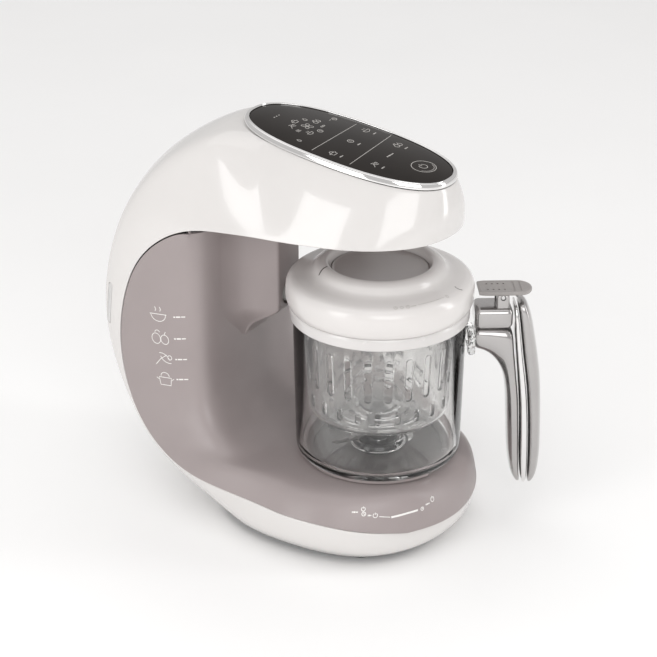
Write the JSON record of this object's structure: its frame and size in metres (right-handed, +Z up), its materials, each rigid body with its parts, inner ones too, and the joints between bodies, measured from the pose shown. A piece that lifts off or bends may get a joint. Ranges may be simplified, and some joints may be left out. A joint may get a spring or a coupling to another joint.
{
  "type": "baby food maker",
  "caption": "Countertop steam-and-blend food maker: C-shaped housing with sloping touch panel and a clear handled jug on the deck.",
  "frame": {"origin": "centre of the footprint's bounding box, on the surface it stands on", "axes": "+Z up, -Y towards the front where the jug goes in, X = 0 is the housing's plane of symmetry"},
  "size_m": [0.1652, 0.2825, 0.272],
  "materials": {
    "shell_white": "glossy warm white moulded plastic",
    "liner_grey": "satin warm grey moulded plastic",
    "panel_black": "black-brown gloss touch panel",
    "chrome": "bright chrome plating",
    "clear": "clear moulded plastic",
    "lid_white": "glossy pearl white plastic",
    "lever_grey": "satin grey plastic",
    "rubber_dark": "dark rubber",
    "rubber_clear": "translucent silicone rubber",
    "steel": "plain steel",
    "plastic_black": "black moulded plastic",
    "board_green": "green circuit board",
    "aluminium": "cast aluminium"
  },
  "bodies": {
    "housing": {"bearing_housing": "plastic_black", "boiler": "aluminium", "boiler_bracket": "steel", "bottom_cover": "plastic_black", "control_board": "board_green", "cover_screw_1": "steel", "cover_screw_2": "steel", "cover_screw_3": "steel", "cover_screw_4": "steel", "drive_belt": "rubber_dark", "feed_tube": "rubber_clear", "filler_neck": "plastic_black", "foot_1": "rubber_dark", "foot_2": "rubber_dark", "foot_3": "rubber_dark", "foot_4": "rubber_dark", "head_underside": "liner_grey", "level_window": "clear", "liner": "liner_grey", "lower_bearing": "steel", "motor": "steel", "motor_mount": "plastic_black", "outer_shell": "shell_white", "panel_trim": "chrome", "power_board": "board_green", "power_inlet": "plastic_black", "pump": "plastic_black", "seat_switch": "plastic_black", "steam_spout": "liner_grey", "steam_tube": "rubber_clear", "touch_panel": "panel_black", "upper_bearing": "steel", "water_tank": "clear", "water_tube": "rubber_clear"},
    "motor_rotor": {"motor_pulley": "aluminium"},
    "drive": {"drive_pulley": "plastic_black", "drive_spindle": "steel", "drive_coupling": "plastic_black"},
    "seat": {"seat_ring": "liner_grey"},
    "jug": {"jug_body": "clear", "jug_collar": "clear", "blade_bush": "plastic_black", "steam_basket": "clear", "handle_shell": "lid_white", "handle_strip": "chrome", "handle_cover": "lid_white", "handle_clip": "clear", "handle_head": "lid_white", "lever_pin": "steel", "lever_spring": "steel"},
    "blade_set": {"blade_hub": "plastic_black", "blades": "steel", "driven_coupling": "plastic_black"},
    "lid": {"lid": "lid_white", "lid_disc": "liner_grey", "lid_seal": "rubber_clear"},
    "lever": {"thumb_lever": "lever_grey"},
    "flap": {"tank_flap": "shell_white"},
    "spout": {"spout_seal": "rubber_clear"},
    "plunger": {"seat_plunger": "plastic_black"}
  },
  "joints": [
    {"name": "jug_turn", "type": "hinge", "parent": "housing", "child": "seat", "pos_m": [0, -0.04865, 0.054], "axis": [0, 0, 1], "range_deg": [-34, 0]},
    {"name": "jug_withdraw", "type": "slide", "parent": "seat", "child": "jug", "axis": [0, -0.9903, 0.1392], "range_m": [0, 0.19]},
    {"name": "lid_turn", "type": "hinge", "parent": "jug", "child": "lid", "pos_m": [0, -0.04865, 0.16], "axis": [0, 0, 1], "range_deg": [-30, 0]},
    {"name": "lever_press", "type": "hinge", "parent": "jug", "child": "lever", "pos_m": [0.04362, -0.11331, 0.163], "axis": [0.829, 0.5592, 0], "range_deg": [0, 6], "stiffness_Nm_per_rad": 0.6},
    {"name": "drive_spin", "type": "hinge", "parent": "housing", "child": "drive", "pos_m": [0, -0.04865, 0.038], "axis": [0, 0, 1], "continuous": true},
    {"name": "motor_spin", "type": "hinge", "parent": "housing", "child": "motor_rotor", "pos_m": [0, 0.07535, 0.038], "axis": [0, 0, 1], "continuous": true},
    {"name": "blade_spin", "type": "hinge", "parent": "jug", "child": "blade_set", "pos_m": [0, -0.04865, 0.071], "axis": [0, 0, 1], "continuous": true},
    {"name": "flap_open", "type": "hinge", "parent": "housing", "child": "flap", "pos_m": [0, 0.09785, 0.2455], "axis": [1, 0, 0], "range_deg": [0, 95]},
    {"name": "spout_press", "type": "slide", "parent": "housing", "child": "spout", "axis": [0, 1, 0], "range_m": [0, 0.003], "stiffness_N_per_m": 300},
    {"name": "plunger_press", "type": "slide", "parent": "housing", "child": "plunger", "axis": [0, 0, -1], "range_m": [0, 0.003], "stiffness_N_per_m": 150}
  ],
  "couplings": [
    {"joint": "motor_spin", "follows": "drive_spin", "ratio": 3},
    {"joint": "blade_spin", "follows": "drive_spin", "ratio": 1}
  ]
}
